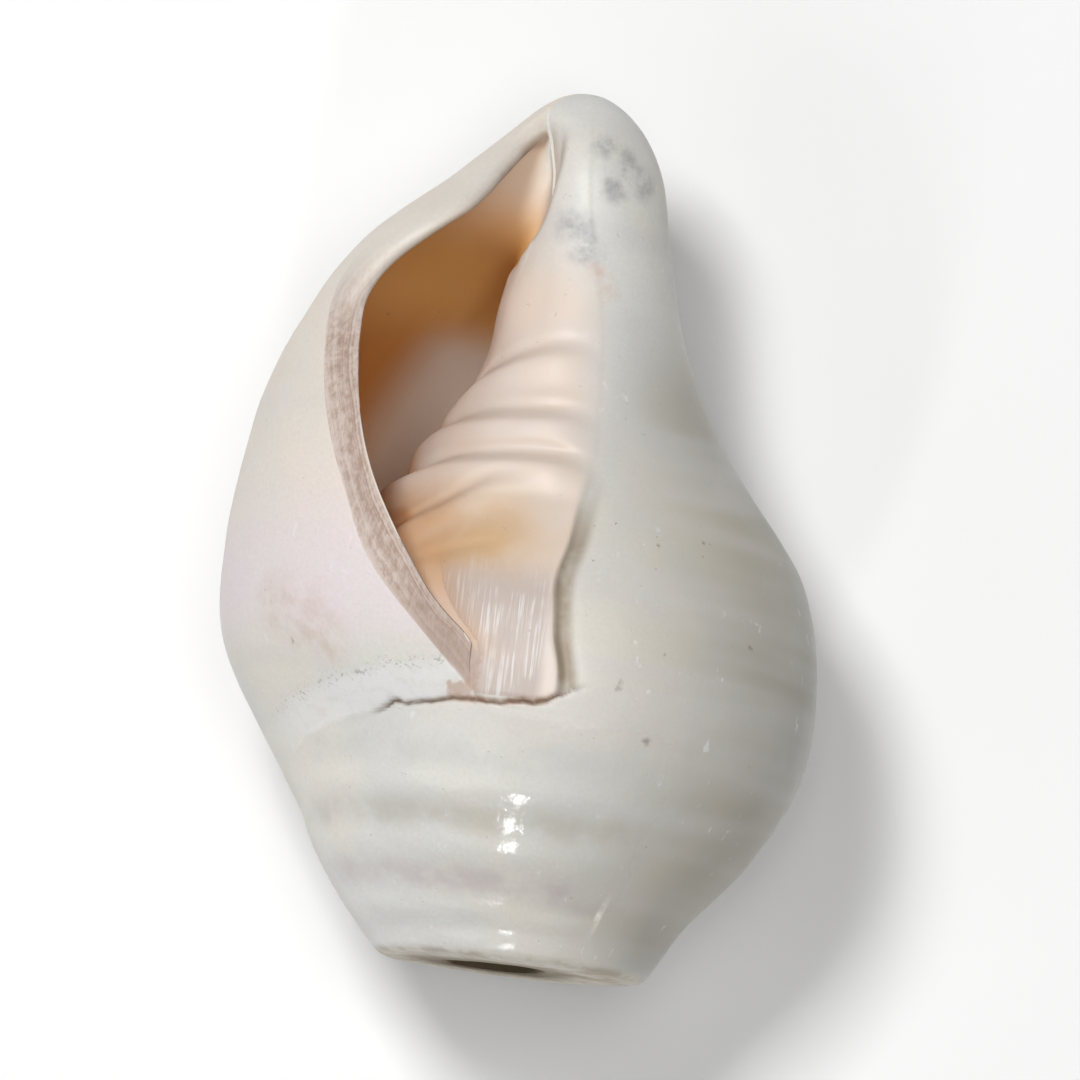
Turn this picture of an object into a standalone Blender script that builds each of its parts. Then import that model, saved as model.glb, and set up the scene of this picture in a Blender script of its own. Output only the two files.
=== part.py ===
"""A polished conch shell, lying on its back with the mouth up.

The canal tip points along +Y and the cut spire along -Y. The shell is one
closed body: a grid wrapped round the growth surface, slit along the mouth,
whose slit edge runs inward whorl by whorl and comes out again through the
round hole in the cut spire.
"""
import bmesh
import bpy
import math
import numpy as np
from mathutils import Matrix, Vector

MM = 0.001

# Driving sizes, in millimetres, measured along the shell's own axis from the cut spire.
BASE = -0.6
TIP = 146.4
DOME_START = 131.0
APEX = -29.0
GROWTH_PER_TURN = 1.6
LIP_WALL = 4.0
INNER_WALL = 3.2
SUTURE_BLEND = 1.4
MOUTH_START = 40.0
MOUTH_END = 142.5
TIP_SHIFT = 4.6
HOLE_RADIUS = 9.0
PIPE_RADIUS = 4.0
HOLE_CENTRE = (-2.7, -1.0)
BASE_CHAMFER = 1.5
REST_PITCH = 0.0
REST_ROLL = 0.0
REST_CUT = 0.5

# Section radii at fixed heights, one list for each azimuth. Azimuth 0 is the front, and it grows toward
# the lip and on round the back, so a larger one is an older place on the whorl.
HEIGHTS = [0, 12, 24, 36, 48, 60, 72, 84, 96, 108, 120, 130, 138, 146.4]
SECTIONS = {
    15: [-12, 6, 25, 39.6, 47.4, 52.2, 54.4, 55.0, 53.4, 48.6, 38.0, 24.3, 15.5, 12.0],
    48: [-5, 13, 30, 42.8, 51.0, 54.4, 55.2, 54.6, 52.2, 47.0, 36.4, 22.8, 14.8, 12.0],
    90: [5, 23, 37.9, 47.2, 54.0, 55.7, 55.1, 53.5, 50.1, 43.8, 33.4, 20.8, 14.3, 12.0],
    180: [8, 26, 37.5, 44.8, 48.4, 48.6, 46.0, 41.4, 35.2, 28.6, 21.6, 16.6, 14.0, 12.0],
    270: [11, 29.2, 38.9, 44.3, 45.5, 43.9, 39.1, 29.4, 21.0, 16.2, 15.3, 14.7, 13.4, 12.0],
    360: [19, 31.0, 39.0, 43.0, 43.9, 41.0, 34.6, 27.0, 20.7, 16.2, 13.6, 12.8, 12.3, 12.0],
    450: [22.3, 32.6, 38.9, 41.6, 41.2, 37.4, 30.8, 23.5, 17.4, 13.2, 9.4, 5.6, 4.2, 4.0],
}

# Azimuth of the lip's outer and inner edge at heights along the mouth.
LIP_OUTER = ([40, 48.5, 61.5, 78, 90, 103, 114, 122, 130, 142.5], [15, 27, 38, 46, 52, 61, 74, 80, 76, 50])
LIP_INNER = ([40, 48.5, 61.5, 78, 90, 103, 114, 122, 130, 142.5], [15, 18, 30, 38, 43, 49, 56, 58, 57, 50])

# The hollow behind the mouth: its lower and upper end at each angle of the way in.
WAY_IN = [0, 60, 150, 240, 330, 440]
HOLLOW_LOW = [48.5, 35.0, 24.5, 20.0, 18.0, 17.0]
HOLLOW_HIGH = [138.5, 131.0, 112.0, 90.0, 64.0, 30.0]

# Folds on the pillar: height at the front, rise of the crest and half width.
FOLDS = [(99.5, 0.6, 3.0), (89.0, 1.7, 2.6), (81.5, 1.9, 2.8), (74.0, 0.9, 2.6)]

# Steps of the grids.
MOUTH_ROWS = 26
LOWER_LEVELS = [BASE, 0.9, 5.0, 9.5, 14.5, 20.0, 26.0, 32.0, 37.0]
TIP_ANGLES = [55, 66, 78]
INWARD_STEPS = [3, 9, 17, 27, 39, 53, 69, 87, 106, 126, 147, 168, 190, 212, 234, 256, 278, 300,
                322, 344, 366, 388, 410, 430]
PIPE_STEPS = [0.12, 0.24, 0.37, 0.5, 0.63, 0.76, 0.88, 1.0]


def spline(xs, ys):
    """Natural cubic through the points, held constant past both ends; ys can hold one column per point."""
    xs = np.asarray(xs, float)
    ys = np.asarray(ys, float)
    gap = np.diff(xs)
    count = len(xs)
    left = np.eye(count)
    right = np.zeros_like(ys)
    for i in range(1, count - 1):
        left[i, i - 1:i + 2] = gap[i - 1], 2 * (gap[i - 1] + gap[i]), gap[i]
        right[i] = 6 * ((ys[i + 1] - ys[i]) / gap[i] - (ys[i] - ys[i - 1]) / gap[i - 1])
    bend = np.linalg.solve(left, right)

    def value(x):
        x = np.clip(np.asarray(x, float), xs[0], xs[-1])
        i = np.clip(np.searchsorted(xs, x, side="right") - 1, 0, count - 2)
        before = xs[i + 1] - x
        after = x - xs[i]
        if ys.ndim == 2:
            columns = np.arange(len(x))
            b0, b1, y0, y1 = bend[i, columns], bend[i + 1, columns], ys[i, columns], ys[i + 1, columns]
        else:
            b0, b1, y0, y1 = bend[i], bend[i + 1], ys[i], ys[i + 1]
        h = gap[i]
        curve = (b0 * before ** 3 + b1 * after ** 3) / (6 * h)
        return curve + (y0 / h - b0 * h / 6) * before + (y1 / h - b1 * h / 6) * after

    return value


def ease(x):
    """Smooth step from 0 to 1."""
    x = np.clip(x, 0, 1)
    return x * x * (3 - 2 * x)


def softer_max(p, q, width):
    """Larger of two radii with the corner between them rounded."""
    h = np.clip(0.5 + 0.5 * (p - q) / width, 0, 1)
    return q + (p - q) * h + width * h * (1 - h)


section_curves = [spline(HEIGHTS, radii) for radii in SECTIONS.values()]
lip_outer = spline(*LIP_OUTER)
lip_inner = spline(*LIP_INNER)
hollow_low = spline(WAY_IN, HOLLOW_LOW)
hollow_high = spline(WAY_IN, HOLLOW_HIGH)


def last_turn(turn, height):
    """Radius of the youngest turn and a quarter, from the sections."""
    columns = np.stack([curve(height) for curve in section_curves])
    return spline(list(SECTIONS), columns)(turn)


def whorl(turn, height):
    """Radius of the coiled surface, turn in degrees back from the front; older whorls shrink to the apex."""
    turn, height = np.broadcast_arrays(np.asarray(turn, float), np.asarray(height, float))
    turn, height = turn.ravel(), height.ravel()
    young = last_turn(turn, height)
    grown = APEX + (height - APEX) * GROWTH_PER_TURN
    old = last_turn(np.clip(turn - 360, 0, 450), grown) / GROWTH_PER_TURN
    seam = last_turn(np.full(turn.shape, 90.0), grown) / GROWTH_PER_TURN
    join = (last_turn(np.full(turn.shape, 450.0), height) - seam) * np.exp(-np.clip(turn - 450, 0, 900) / 120)
    return np.where(turn <= 450, young, old + join)


def folds(turn, height):
    """Rise of the spiral folds on the pillar."""
    start = APEX + (height - APEX) * GROWTH_PER_TURN ** ((turn - 360) / 360)
    fade = ease((turn - 350) / 22) * (1 - ease((turn - 520) / 60))
    rise = sum(tall * np.exp(-((start - at) / half) ** 2) for at, tall, half in FOLDS)
    return rise * fade


def dome(height):
    """Share of the radius left near the rounded tip."""
    x = np.clip((height - DOME_START) / (TIP - DOME_START), 0, 1)
    return np.sqrt(1 - x * x)


def spine(height):
    """Sideways place of the axis, which leans toward the lip at the tip."""
    return -TIP_SHIFT * ease((height - 100) / 36)


def place(turn, height, radius):
    """Points in the shell's own frame: x to the right, y along the axis, z to the front."""
    angle = np.radians(turn)
    points = np.broadcast_arrays(spine(height) - radius * np.sin(angle), height, radius * np.cos(angle))
    return np.stack(points, -1)


def outer_radius(turn, height, start):
    """Radius of the outside, the larger of the whorls there, healed shut past the end of the mouth."""
    young = whorl(turn, height)
    older = whorl(turn + 360, height) + folds(turn + 360, height)
    radius = softer_max(young + folds(turn, height), older, SUTURE_BLEND)
    radius = softer_max(radius, whorl(turn + 720, height), SUTURE_BLEND)
    closing = ease((height - MOUTH_END + 4) / 4) * ease((turn - start - 290) / 65)
    lip_side = whorl(np.clip(turn - 360, 0, 360), height)
    radius = radius + (lip_side - radius) * closing
    return radius * dome(height)


def suture_height(turn):
    """Height where the youngest whorl meets the one before it."""
    height = np.linspace(5, 60, 551)
    ahead = whorl(turn, height) > whorl(turn + 360, height)
    return height[len(ahead) - 1 - np.argmin(ahead[::-1])]


def suture_drop():
    """How far a row of the grid sinks to keep on the suture, let go again on the right-hand side."""
    turns = [15, 30, 48, 70, 90, 120, 150, 180, 205]
    drops = [suture_height(turn) - MOUTH_START for turn in turns]
    print("suture", [round(drop + MOUTH_START, 1) for drop in drops])
    return spline(turns + [240, 275, 310, 350, 375], drops + [-15.0, -5.0, 0.0, 1.0, drops[0]])


def row_height(level, turn, drop):
    """Height of a row of the grid at an azimuth: the suture row dips most, the rows away from it less."""
    share = np.where(level < MOUTH_START, level / MOUTH_START, (2 * MOUTH_START - level) / MOUTH_START)
    return level + drop(turn) * np.clip(share, 0, 1)


def mouth_levels():
    """Rows of the mouth, closer together over the folds."""
    even = np.linspace(0, 1, 400)
    level = MOUTH_START + (MOUTH_END - MOUTH_START) * even
    weight = 1 + 0.9 * np.exp(-((level - 83) / 15) ** 2) + 0.5 * even ** 6 + 0.5 * (1 - even) ** 12
    total = np.concatenate([[0], np.cumsum((weight[1:] + weight[:-1]) / 2)])
    return np.interp(np.linspace(0, total[-1], MOUTH_ROWS + 1), total, level)


def hollow_ring(way, rows):
    """One ring of the hollow: up its outer wall and back down its inner wall."""
    share = (rows - MOUTH_START) / (MOUTH_END - MOUTH_START)
    low, high = float(hollow_low(way)), float(hollow_high(way))
    height = low + share * (high - low)
    straight = 41.0
    start = lip_inner(height)
    turn = start + (straight - start) * ease(way / 110) + way
    wall = LIP_WALL + (INNER_WALL - LIP_WALL) * ease(way / 360)
    outside = whorl(turn, height) * dome(height) - wall
    deeper = turn + 360 + 4 * (1 - ease(way / 30))
    inside = (whorl(deeper, height) + folds(deeper, height)) * dome(height)
    inside = np.maximum(inside, outside - 45 + 37 * ease((way - 240) / 180))
    middle = (outside + inside) / 2 * (1 - 0.2 * ease((way - 290) / 140))
    half = np.maximum((outside - inside) / 2, 0.8)
    power = 5.0 - 2.2 * ease(way / 90)
    open_share = (1 - np.abs(2 * share - 1) ** power) ** (1 / power)
    up = place(turn, height, middle + half * open_share)
    down = place(deeper, height, middle - half * open_share)
    return np.concatenate([up, down[-2:0:-1]]), float(turn.mean())


def pipe_rings(last, turn):
    """Rings that lead the last ring of the hollow down to the round hole in the cut spire."""
    angle = math.radians(turn)
    out = np.array([-math.sin(angle), 0, math.cos(angle)])
    up = np.array([0, 1.0, 0])
    heading = Vector((-math.cos(angle), 0, -math.sin(angle)))
    centre = last.mean(0)
    goal = np.array([HOLE_CENTRE[0], BASE, HOLE_CENTRE[1]])
    lead = np.array(heading)
    guides = [centre, centre + lead * 12.0, goal + up * 13.0 + lead * 7.0, goal]
    around = np.linspace(-math.pi / 2, 3 * math.pi / 2, len(last), endpoint=False)
    flat = np.stack([(last - centre) @ out, (last - centre) @ up], -1)
    rings = []
    for step in PIPE_STEPS:
        rest = 1 - step
        path = (rest ** 3 * guides[0] + 3 * rest ** 2 * step * guides[1]
                + 3 * rest * step ** 2 * guides[2] + step ** 3 * guides[3])
        slope = (rest ** 2 * (guides[1] - guides[0]) + 2 * rest * step * (guides[2] - guides[1])
                 + step ** 2 * (guides[3] - guides[2]))
        following = Vector(slope).normalized()
        swing = np.array(heading.rotation_difference(following).to_matrix())
        out, up, heading = swing @ out, swing @ up, following
        mix = float(ease(step / 0.25))
        radius = PIPE_RADIUS + (HOLE_RADIUS - PIPE_RADIUS) * float(ease((step - 0.4) / 0.6))
        across = flat[:, 0] * (1 - mix) + radius * np.cos(around) * mix
        along = flat[:, 1] * (1 - mix) + radius * np.sin(around) * mix
        rings.append(path + across[:, None] * out + along[:, None] * up)
    rings[-1][:, 1] = BASE
    return rings


def build_points():
    """All vertices and faces of the shell in its own frame."""
    rows = mouth_levels()
    drop = suture_drop()
    tip = DOME_START + (TIP - DOME_START) * np.sin(np.radians(TIP_ANGLES))
    levels = np.concatenate([LOWER_LEVELS, rows, tip])
    columns = 2 * MOUTH_ROWS
    first, last = len(LOWER_LEVELS), len(LOWER_LEVELS) + MOUTH_ROWS
    points, faces = [], []

    def add(new):
        start = len(points)
        points.extend(np.asarray(new).tolist())
        return list(range(start, start + len(new)))

    grid = []
    for j, level in enumerate(levels):
        start = float(lip_outer(level))
        for _ in range(6):
            start = float(lip_outer(row_height(level, start, drop)))
        stop = float(lip_inner(level)) + 360
        turn = np.linspace(start, stop, columns + 1)
        height = row_height(level, turn, drop)
        radius = outer_radius(turn, height, start)
        if j == 0:
            radius = radius - BASE_CHAMFER
        ring = add(place(turn, height, radius))
        if not first < j < last:
            ring[-1] = ring[0]
        grid.append(ring)
    for j in range(len(grid) - 1):
        for i in range(columns):
            faces.append([grid[j][i], grid[j + 1][i], grid[j + 1][i + 1], grid[j][i + 1]])
    pole = add(place(np.array([0.0]), np.array([TIP]), np.array([0.0])))[0]
    for i in range(columns):
        faces.append([grid[-1][i], pole, grid[-1][i + 1]])

    outer_edge = [grid[j][0] for j in range(first, last + 1)]
    inner_edge = [grid[j][-1] for j in range(first, last + 1)]
    ring = outer_edge + inner_edge[-2:0:-1]

    def bridge(a, b):
        for k in range(len(a)):
            n = (k + 1) % len(a)
            quad = [a[k], a[n], b[n], b[k]]
            if len(set(quad)) > 2:
                faces.append(quad)

    mouth, _ = hollow_ring(0, rows)
    edge = np.array([points[k] for k in ring])
    rounding = np.concatenate([rows, rows[-2:0:-1]])
    swell = ease((rounding - 100) / 14) * 1.6
    swell[MOUTH_ROWS + 1:] = 0
    side = edge - mouth
    outward = np.stack([np.zeros(len(edge)), np.zeros(len(edge)), np.ones(len(edge))], -1)
    middle = (edge + mouth) / 2 + outward * swell[:, None] * np.minimum(np.linalg.norm(side, axis=1) / 6, 1)[:, None]
    for level in (middle, mouth):
        following = add(level)
        bridge(ring, following)
        ring = following
    last_points, last_turn_angle = mouth, 0.0
    for way in INWARD_STEPS:
        last_points, last_turn_angle = hollow_ring(way, rows)
        following = add(last_points)
        bridge(ring, following)
        ring = following
    for level in pipe_rings(last_points, last_turn_angle):
        following = add(level)
        bridge(ring, following)
        ring = following

    base = grid[0][:-1]
    base_angles = [math.atan2(points[k][2] - HOLE_CENTRE[1], points[k][0] - HOLE_CENTRE[0]) for k in base]
    hole_angles = [math.atan2(points[k][2] - HOLE_CENTRE[1], points[k][0] - HOLE_CENTRE[0]) for k in ring]
    turned = [abs(math.remainder(angle - base_angles[0], 2 * math.pi)) for angle in hole_angles]
    shift = turned.index(min(turned))
    same_way = math.remainder(hole_angles[1] - hole_angles[0], 2 * math.pi) * math.remainder(
        base_angles[1] - base_angles[0], 2 * math.pi) > 0
    direction = 1 if same_way else -1
    lined = [ring[(shift + direction * k) % len(ring)] for k in range(len(ring))]
    for k in range(len(base)):
        n = (k + 1) % len(base)
        faces.append([base[k], base[n], lined[n], lined[k]])
    return points, faces


def settle(mesh_data):
    """Turn the shell onto its back, shave a small flat where it rests and centre it on the ground."""
    turn = Matrix.Rotation(math.radians(REST_ROLL), 3, "Y") @ Matrix.Rotation(math.radians(REST_PITCH), 3, "X")
    bmesh.ops.rotate(mesh_data, cent=(0, 0, 0), matrix=turn, verts=mesh_data.verts)
    lowest = min(v.co.z for v in mesh_data.verts)
    plane = lowest + REST_CUT
    cut = bmesh.ops.bisect_plane(mesh_data, geom=mesh_data.verts[:] + mesh_data.edges[:] + mesh_data.faces[:],
                                 dist=1e-4, plane_co=(0, 0, plane), plane_no=(0, 0, -1), clear_outer=True)
    border = [item for item in cut["geom_cut"] if isinstance(item, bmesh.types.BMEdge)]
    bmesh.ops.contextual_create(mesh_data, geom=border)
    low = Vector(min(v.co[i] for v in mesh_data.verts) for i in range(3))
    high = Vector(max(v.co[i] for v in mesh_data.verts) for i in range(3))
    move = Vector((-(low.x + high.x) / 2, -(low.y + high.y) / 2, -low.z))
    bmesh.ops.translate(mesh_data, verts=mesh_data.verts, vec=move)
    print("settle move", [round(c, 4) for c in move], "size", [round(c, 3) for c in high - low])


for leftover in list(bpy.data.objects):
    bpy.data.objects.remove(leftover, do_unlink=True)

part = bpy.data.collections.new("conch_shell")
bpy.context.scene.collection.children.link(part)

points, faces = build_points()
mesh = bpy.data.meshes.new("shell")
body = bmesh.new()
verts = [body.verts.new(point) for point in points]
for face in faces:
    unique = [verts[k] for k in dict.fromkeys(face)]
    if len(unique) > 2:
        body.faces.new(unique)
bmesh.ops.delete(body, geom=[v for v in body.verts if not v.link_faces], context="VERTS")
bmesh.ops.recalc_face_normals(body, faces=body.faces)
settle(body)
bmesh.ops.triangulate(body, faces=body.faces)
bmesh.ops.scale(body, vec=(MM, MM, MM), verts=body.verts)
bmesh.ops.recalc_face_normals(body, faces=body.faces)
body.to_mesh(mesh)
body.free()

shell = bpy.data.objects.new("shell", mesh)
part.objects.link(shell)

polish = bpy.data.materials.new("shell")
polish.use_nodes = True
surface = polish.node_tree.nodes["Principled BSDF"]
surface.inputs["Base Color"].default_value = (0.66, 0.63, 0.58, 1)
surface.inputs["Roughness"].default_value = 0.32
mesh.materials.append(polish)
print("triangles", len(mesh.polygons))
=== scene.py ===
# %% [markdown]
# # A polished conch, lying on its back
# This lesson dresses a conch that has been cleaned, polished and sawn off at the spire, so that it can be
# blown. The solid that carries it is loaded first, and everything below is measured in the same frame:
# the canal tip points along +Y, the sawn spire along -Y, and the mouth looks up. A shell is grown as one
# piece, so the scene has one piece too, and its forms are all turns of one growth surface.

# %% Load the frame
import bpy
import math
import numpy as np
from mathutils import Matrix, Vector


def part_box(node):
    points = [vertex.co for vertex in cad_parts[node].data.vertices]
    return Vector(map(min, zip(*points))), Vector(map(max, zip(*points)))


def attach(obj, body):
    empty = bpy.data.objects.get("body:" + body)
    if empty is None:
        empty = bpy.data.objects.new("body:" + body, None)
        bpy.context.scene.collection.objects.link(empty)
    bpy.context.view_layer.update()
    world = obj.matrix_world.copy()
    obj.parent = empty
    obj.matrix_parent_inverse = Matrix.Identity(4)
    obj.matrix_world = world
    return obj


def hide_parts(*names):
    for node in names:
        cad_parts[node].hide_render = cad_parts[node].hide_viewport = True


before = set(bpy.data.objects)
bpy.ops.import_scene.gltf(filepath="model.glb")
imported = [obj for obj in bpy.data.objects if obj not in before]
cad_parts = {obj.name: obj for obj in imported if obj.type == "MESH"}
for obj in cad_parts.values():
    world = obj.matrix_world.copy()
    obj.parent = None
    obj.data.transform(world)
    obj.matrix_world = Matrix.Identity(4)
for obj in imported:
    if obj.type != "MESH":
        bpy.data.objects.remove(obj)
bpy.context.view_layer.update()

low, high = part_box("shell")
print("solid", [round(c, 4) for c in low], [round(c, 4) for c in high])

# %% [markdown]
# ## The camera
# The photograph looks almost straight down on the shell, with the sawn end tipped a little towards the
# lens and the axis leaning to the right. A long lens from far away keeps the outline true. The camera is
# built from its own three directions, so that no angle has to be guessed in an order of turns.

# %% Camera
MM = 0.001
TIPPED = math.radians(5.5)
LEANING = math.radians(7.0)
FRAME_WIDTH = 0.18
LENS_DISTANCE = 4.0
SENSOR_WIDTH = 36
looked_at = Vector((1.43, -1.66, 48.5)) * MM

toward_lens = Vector((0, -math.sin(TIPPED), math.cos(TIPPED)))
along_shell = Vector((0, math.cos(TIPPED), math.sin(TIPPED)))
image_right = math.cos(LEANING) * Vector((1, 0, 0)) + math.sin(LEANING) * along_shell
image_up = math.cos(LEANING) * along_shell - math.sin(LEANING) * Vector((1, 0, 0))

bpy.ops.object.camera_add(location=looked_at + toward_lens * LENS_DISTANCE)
camera = bpy.context.object
camera.name = "studio_camera"
camera.rotation_euler = Matrix((image_right, image_up, toward_lens)).transposed().to_euler()
camera.data.sensor_width = SENSOR_WIDTH
camera.data.lens = SENSOR_WIDTH * LENS_DISTANCE / FRAME_WIDTH
bpy.context.scene.camera = camera
print("lens", round(camera.data.lens), "mm")

# %% [markdown]
# ## The growth surface
# A snail builds its house by adding to the lip, so the whole shell is one curve carried round an axis while
# it grows. It could be sculpted, but then the whorls wouldn't agree with each other under the overlap. Here
# it is written as a radius for every height along the axis and every turn round it: seven section curves
# give the last turn and a quarter, and everything older is the same curve shrunk towards the apex. A turn
# is counted in degrees, from the front towards the lip and on round the back.

# %% Sizes of the shell, in millimetres from the sawn spire
BASE = -0.6
TIP = 146.4
DOME_START = 131.0
APEX = -29.0
GROWTH_PER_TURN = 1.6
LIP_WALL = 4.0
INNER_WALL = 3.2
SUTURE_BLEND = 0.5
MOUTH_START = 40.0
MOUTH_END = 142.5
TIP_SHIFT = 4.6
HOLE_RADIUS = 9.0
PIPE_RADIUS = 4.0
HOLE_CENTRE = (-2.7, -1.0)
BASE_EDGE = 1.5
REST_CUT = 0.5

HEIGHTS = [0, 12, 24, 36, 48, 60, 72, 84, 96, 108, 120, 130, 138, 146.4]
SECTIONS = {
    15: [-12, 6, 25, 39.6, 47.4, 52.2, 54.4, 55.0, 53.4, 48.6, 38.0, 24.3, 15.5, 12.0],
    48: [-5, 13, 30, 42.8, 51.0, 54.4, 55.2, 54.6, 52.2, 47.0, 36.4, 22.8, 14.8, 12.0],
    90: [5, 23, 37.9, 47.2, 54.0, 55.7, 55.1, 53.5, 50.1, 43.8, 33.4, 20.8, 14.3, 12.0],
    180: [8, 26, 37.5, 44.8, 48.4, 48.6, 46.0, 41.4, 35.2, 28.6, 21.6, 16.6, 14.0, 12.0],
    270: [11, 29.2, 38.9, 44.3, 45.5, 43.9, 39.1, 29.4, 21.0, 16.2, 15.3, 14.7, 13.4, 12.0],
    360: [19, 31.0, 39.0, 43.0, 43.9, 41.0, 34.6, 27.0, 20.7, 16.2, 13.6, 12.8, 12.3, 12.0],
    450: [22.3, 32.6, 38.9, 41.6, 41.2, 37.4, 30.8, 23.5, 17.4, 13.2, 9.4, 5.6, 4.2, 4.0],
}
LIP_HEIGHTS = [40, 48.3, 53, 61.3, 69.9, 78, 90, 100, 108, 113.7, 118.2, 123.3, 129.4, 136, 142.5]
LIP_OUTER = [15, 24, 29, 36.4, 41, 45.6, 52.4, 59, 65, 64, 58, 53, 55, 56, 50]
LIP_INNER = [15, 15.8, 21.8, 29.5, 35.6, 40.8, 47.4, 53.3, 56.5, 51, 44, 39, 42.5, 48, 50]
print("sections", len(SECTIONS), "heights", len(HEIGHTS))


# %% Curves through measured points
def spline(xs, ys):
    """Natural cubic through the points, held constant past both ends; ys can hold one column per point."""
    xs = np.asarray(xs, float)
    ys = np.asarray(ys, float)
    gap = np.diff(xs)
    count = len(xs)
    left = np.eye(count)
    right = np.zeros_like(ys)
    for i in range(1, count - 1):
        left[i, i - 1:i + 2] = gap[i - 1], 2 * (gap[i - 1] + gap[i]), gap[i]
        right[i] = 6 * ((ys[i + 1] - ys[i]) / gap[i] - (ys[i] - ys[i - 1]) / gap[i - 1])
    bend = np.linalg.solve(left, right)

    def value(x):
        x = np.clip(np.asarray(x, float), xs[0], xs[-1])
        i = np.clip(np.searchsorted(xs, x, side="right") - 1, 0, count - 2)
        before = xs[i + 1] - x
        after = x - xs[i]
        if ys.ndim == 2:
            columns = np.arange(len(x))
            b0, b1, y0, y1 = bend[i, columns], bend[i + 1, columns], ys[i, columns], ys[i + 1, columns]
        else:
            b0, b1, y0, y1 = bend[i], bend[i + 1], ys[i], ys[i + 1]
        h = gap[i]
        curve = (b0 * before ** 3 + b1 * after ** 3) / (6 * h)
        return curve + (y0 / h - b0 * h / 6) * before + (y1 / h - b1 * h / 6) * after

    return value


def ease(x):
    """Smooth step from 0 to 1."""
    x = np.clip(x, 0, 1)
    return x * x * (3 - 2 * x)


def bump(x, centre, half):
    """A round bump of height 1."""
    return np.exp(-((x - centre) / half) ** 2)


def softer_max(p, q, width):
    """Larger of two radii with the corner between them rounded."""
    h = np.clip(0.5 + 0.5 * (p - q) / width, 0, 1)
    return q + (p - q) * h + width * h * (1 - h)


section_curves = [spline(HEIGHTS, radii) for radii in SECTIONS.values()]
lip_outer = spline(LIP_HEIGHTS, LIP_OUTER)
lip_inner = spline(LIP_HEIGHTS, LIP_INNER)
print("lip at 78 mm:", float(lip_outer(78)), "to", float(lip_inner(78)), "degrees")

# %% [markdown]
# ## Folds on the pillar
# Inside the mouth a conch of this kind has a few strong folds that wind round the pillar. They could be cut
# as grooves afterwards, but they are grown with the rest, so each one is a course over the turns with the
# same profile: a crevice on top, a crest just below it and a long soft slope down to the next fold. Near the
# tip the pillar sinks on its left into a shallow canal, and the line where it starts is given the same way.

# %% Courses of the folds
FOLDS = [
    (spline([360, 378, 392, 408, 425, 440, 470], [102.2, 101.6, 100.2, 98.2, 95.4, 91.5, 84.0]), 1.3, 350, 26),
    (spline([345, 361, 380, 394, 416, 441, 475], [89.6, 90.3, 90.1, 89.7, 88.5, 86.1, 80.0]), 2.0, 350, 22),
    (spline([345, 362, 376, 394, 406, 421, 448, 480],
            [80.4, 82.4, 82.7, 82.0, 81.3, 79.5, 76.4, 71.0]), 2.4, 349, 20),
    (spline([362, 375, 388, 396, 407, 425, 450], [78.8, 78.4, 76.8, 73.9, 70.3, 64.0, 58.0]), 1.2, 366, 22),
]
LOW_GROOVE = spline([370, 383, 391, 399, 415], [67.2, 65.8, 64.3, 62.9, 60.0])
CANAL_EDGE = spline([117.3, 120.2, 123.5, 126.9, 130.3, 134.1, 137.3, 142],
                    [418, 404, 392, 384.5, 378.5, 374, 372.5, 372])
CANAL_DEPTH = 4.0
PILLAR_AT_CANAL = 12.5
print("folds", len(FOLDS))


# %% Growth surface
def last_turn(turn, height):
    """Radius of the youngest turn and a quarter, from the sections."""
    columns = np.stack([curve(height) for curve in section_curves])
    return spline(list(SECTIONS), columns)(turn)


def whorl(turn, height):
    """Radius of the coiled surface; older whorls shrink to the apex."""
    turn, height = np.broadcast_arrays(np.asarray(turn, float), np.asarray(height, float))
    shape = turn.shape
    turn, height = turn.ravel(), height.ravel()
    young = last_turn(turn, height)
    grown = APEX + (height - APEX) * GROWTH_PER_TURN
    old = last_turn(np.clip(turn - 360, 0, 450), grown) / GROWTH_PER_TURN
    seam = last_turn(np.full(turn.shape, 90.0), grown) / GROWTH_PER_TURN
    join = (last_turn(np.full(turn.shape, 450.0), height) - seam) * np.exp(-np.clip(turn - 450, 0, 900) / 120)
    return np.where(turn <= 450, young, old + join).reshape(shape)


def folds(turn, height):
    """Rise of the folds on the pillar, and the shallow canal beside them near the tip."""
    rise = 1.3 * bump(height, 109, 7) * ease((turn - 385) / 35)
    for course, tall, begins, grows in FOLDS:
        off = height - course(turn)
        crest = ease((0.6 - off) / 2.4) * (1 - ease((-1.8 - off) / 6.0)) - 0.34 * bump(off, 1.3, 1.0)
        rise = rise + tall * crest * ease((turn - begins) / grows)
    rise = rise - 0.4 * bump(height - LOW_GROOVE(turn), 0, 0.9) * ease((turn - 372) / 14)
    side = np.radians(turn - CANAL_EDGE(height)) * PILLAR_AT_CANAL
    canal = CANAL_DEPTH * ease((height - 114) / 8) * (1 - ease((height - 131) / 11)) * ease((side + 0.4) / 3.2)
    return (rise - canal) * (1 - ease((turn - 465) / 60)) * ease((turn - 340) / 10)


def dome(height):
    """Share of the radius left near the rounded tip."""
    x = np.clip((height - DOME_START) / (TIP - DOME_START), 0, 1)
    return np.sqrt(1 - x * x)


def place(turn, height, radius):
    """Points in the shell's own frame: x to the right, y along the axis, z to the front."""
    angle = np.radians(turn)
    lean = -TIP_SHIFT * ease((np.asarray(height) - 100) / 36)
    return np.stack(np.broadcast_arrays(lean - radius * np.sin(angle), height, radius * np.cos(angle)), -1)


print("radius at the widest", round(float(whorl(90, 60)), 1), "mm")

# %% [markdown]
# ## Rows and columns
# The outside is one sheet wrapped round the growth surface. Its rows dip along the suture, the line where
# the last whorl lies on the one before, so that the crease falls on one row and stays sharp. Rows are packed
# closely over the folds and at the suture, and columns where the light glaze of the inner lip ends. One
# column is drawn over to that edge, because a groove that ran across the columns would look stepped.


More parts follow.
